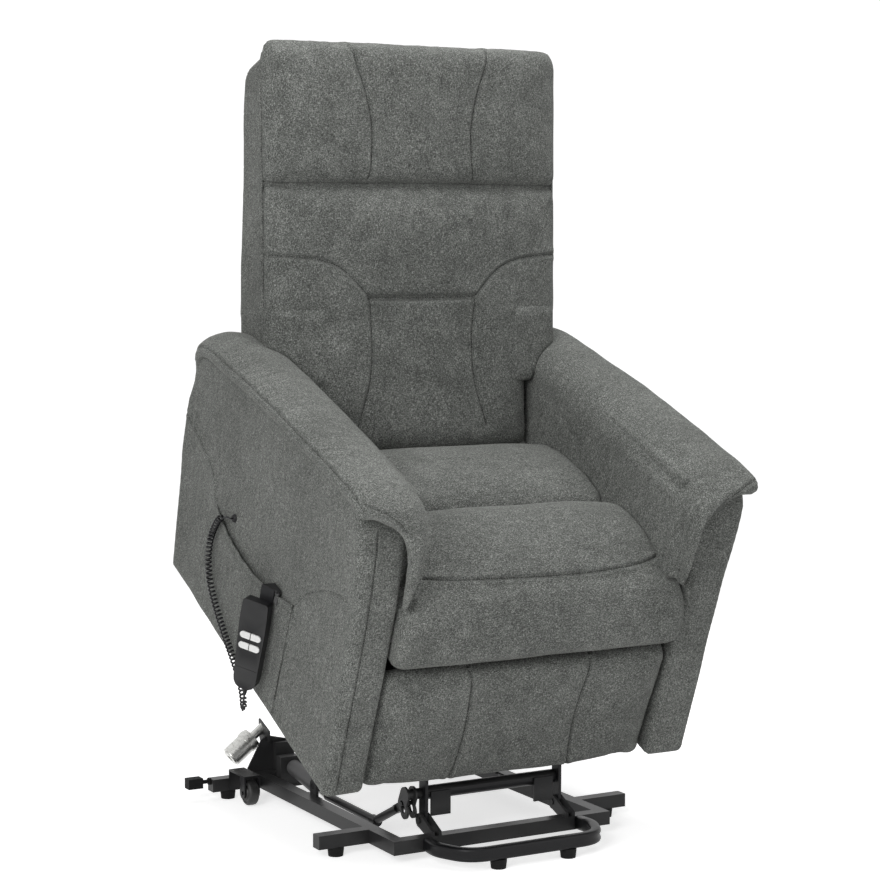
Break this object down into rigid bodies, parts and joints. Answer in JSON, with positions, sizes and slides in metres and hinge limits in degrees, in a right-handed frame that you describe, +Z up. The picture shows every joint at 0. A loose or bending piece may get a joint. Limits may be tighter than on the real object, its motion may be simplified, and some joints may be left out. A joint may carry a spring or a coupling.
{
  "type": "lift recliner chair",
  "caption": "Upholstered lift recliner raised for standing: floor frame with wheels, tilting lift linkage, reclining back, folding footrest, side pocket with corded hand control.",
  "frame": {"origin": "on the floor, under the middle of the overall box of the raised chair; the chair's own middle plane is at x = 16 mm because the hand control hangs on one side", "axes": "+Z up, the sitter faces -Y, the hand control is at -X"},
  "size_m": [0.833, 0.8964, 1.4644],
  "materials": {
    "black_steel": "satin black powder coat",
    "grey_steel": "dark grey paint",
    "bright_metal": "bare bright metal",
    "grey_fabric": "brushed heathered charcoal weave",
    "black_rubber": "matt",
    "wheel_plastic": "dark tread, pale hub",
    "black_plastic": "fine grained",
    "white_plastic": "smooth",
    "wood": "raw board"
  },
  "bodies": {
    "base": {"side_rails": "black_steel", "front_cross_tube": "black_steel", "rear_cross_tube": "black_steel", "outriggers": "black_steel", "front_loop": "black_steel", "rubber_feet": "black_rubber", "end_caps": "black_plastic", "wheel_forks": "black_steel", "wall_buffers": "black_rubber", "front_link_ears": "black_steel", "rear_link_ears": "black_steel", "motor_bracket": "black_steel", "lift_motor": "bright_metal", "lift_gearbox": "black_plastic", "drive_tube": "grey_steel"},
    "wheel_left": {"transport_wheel_left": "wheel_plastic"},
    "wheel_right": {"transport_wheel_right": "wheel_plastic"},
    "front_link": {"front_link_arms": "black_steel", "lift_cross_tube": "black_steel", "drive_crank": "black_steel"},
    "rear_link": {"rear_link_arms": "black_steel", "rear_link_tube": "black_steel"},
    "drive": {"drive_rod": "bright_metal", "drive_link": "black_steel"},
    "foot_upper": {"foot_shaft": "grey_steel", "foot_upper_links": "grey_steel"},
    "foot_lower": {"foot_lower_links": "grey_steel"},
    "footrest": {"footrest_board": "wood", "footrest_pad": "grey_fabric"},
    "foot_rod": {"foot_actuator_rod": "bright_metal"},
    "back": {"back_frame": "grey_steel", "back_shell": "grey_fabric", "back_cushion": "grey_fabric", "head_pillow": "grey_fabric"},
    "back_rod": {"back_actuator_rod": "bright_metal"},
    "key_back_up": {"button_back_up": "white_plastic"},
    "key_back_down": {"button_back_down": "white_plastic"},
    "key_foot_up": {"button_foot_up": "white_plastic"},
    "key_foot_down": {"button_foot_down": "white_plastic"},
    "chair": {"lift_rails": "black_steel", "lift_cross_bars": "black_steel", "side_plates": "grey_steel", "seat_cross_rails": "wood", "seat_springs": "bright_metal", "arm_left": "grey_fabric", "arm_right": "grey_fabric", "arm_facings": "grey_fabric", "arm_pad_left": "grey_fabric", "arm_pad_right": "grey_fabric", "rear_skirt": "grey_fabric", "side_pocket": "grey_fabric", "seat_cushion": "grey_fabric", "front_roll": "grey_fabric", "front_apron": "grey_fabric", "control_box": "black_plastic", "foot_actuator": "black_plastic", "back_actuator": "black_plastic", "handset": "black_plastic", "cord_grommet": "black_plastic", "curly_cord": "black_plastic"}
  },
  "joints": [
    {"name": "lift", "type": "hinge", "parent": "base", "child": "front_link", "pos_m": [0.016, -0.159, 0.06], "axis": [1, 0, 0], "range_deg": [0, 81.05]},
    {"name": "chair_tilt", "type": "hinge", "parent": "front_link", "child": "chair", "pos_m": [0.016, -0.16049, 0.19161], "axis": [1, 0, 0], "range_deg": [-106.3, 0]},
    {"name": "rear_link_swing", "type": "hinge", "parent": "base", "child": "rear_link", "pos_m": [0.016, 0.171, 0.058], "axis": [1, 0, 0], "range_deg": [0, 47.7]},
    {"name": "drive_slide", "type": "slide", "parent": "base", "child": "drive", "axis": [0, -0.9853, -0.171], "range_m": [0, 0.04488]},
    {"name": "footrest", "type": "hinge", "parent": "chair", "child": "foot_upper", "pos_m": [0.016, -0.1811, 0.40061], "axis": [-1, 0, 0], "range_deg": [0, 83]},
    {"name": "foot_knee", "type": "hinge", "parent": "foot_upper", "child": "foot_lower", "pos_m": [0.016, -0.12207, 0.22001], "axis": [-1, 0, 0], "range_deg": [-116.6, 0]},
    {"name": "foot_board", "type": "hinge", "parent": "foot_lower", "child": "footrest", "pos_m": [0.016, -0.23838, 0.3296], "axis": [-1, 0, 0], "range_deg": [0, 123.6]},
    {"name": "foot_rod_slide", "type": "slide", "parent": "chair", "child": "foot_rod", "axis": [0, -0.9056, -0.4242], "range_m": [0, 0.07993]},
    {"name": "recline", "type": "hinge", "parent": "chair", "child": "back", "pos_m": [0.016, 0.18949, 0.5996], "axis": [-1, 0, 0], "range_deg": [0, 30]},
    {"name": "back_rod_slide", "type": "slide", "parent": "chair", "child": "back_rod", "axis": [0, -0.9056, -0.4242], "range_m": [0, 0.04585]},
    {"name": "wheel_left_spin", "type": "hinge", "parent": "base", "child": "wheel_left", "pos_m": [-0.256, 0.305, 0.026], "axis": [1, 0, 0], "continuous": true},
    {"name": "wheel_right_spin", "type": "hinge", "parent": "base", "child": "wheel_right", "pos_m": [0.288, 0.305, 0.026], "axis": [1, 0, 0], "continuous": true},
    {"name": "press_back_up", "type": "slide", "parent": "chair", "child": "key_back_up", "axis": [0.788, 0.5811, 0.2035], "range_m": [0, 0.001], "stiffness_N_per_m": 400, "springref_m": -0.001},
    {"name": "press_back_down", "type": "slide", "parent": "chair", "child": "key_back_down", "axis": [0.788, 0.5811, 0.2035], "range_m": [0, 0.001], "stiffness_N_per_m": 400, "springref_m": -0.001},
    {"name": "press_foot_up", "type": "slide", "parent": "chair", "child": "key_foot_up", "axis": [0.788, 0.5811, 0.2035], "range_m": [0, 0.001], "stiffness_N_per_m": 400, "springref_m": -0.001},
    {"name": "press_foot_down", "type": "slide", "parent": "chair", "child": "key_foot_down", "axis": [0.788, 0.5811, 0.2035], "range_m": [0, 0.001], "stiffness_N_per_m": 400, "springref_m": -0.001}
  ],
  "couplings": [
    {"joint": "chair_tilt", "follows": "lift", "ratio": -1.3097},
    {"joint": "rear_link_swing", "follows": "lift", "ratio": 0.58705},
    {"joint": "drive_slide", "follows": "lift", "m_per_rad": 0.031511},
    {"joint": "foot_knee", "follows": "footrest", "ratio": -1.4024},
    {"joint": "foot_board", "follows": "footrest", "ratio": 1.4867},
    {"joint": "foot_rod_slide", "follows": "footrest", "m_per_rad": 0.054966},
    {"joint": "back_rod_slide", "follows": "recline", "m_per_rad": 0.086997}
  ]
}
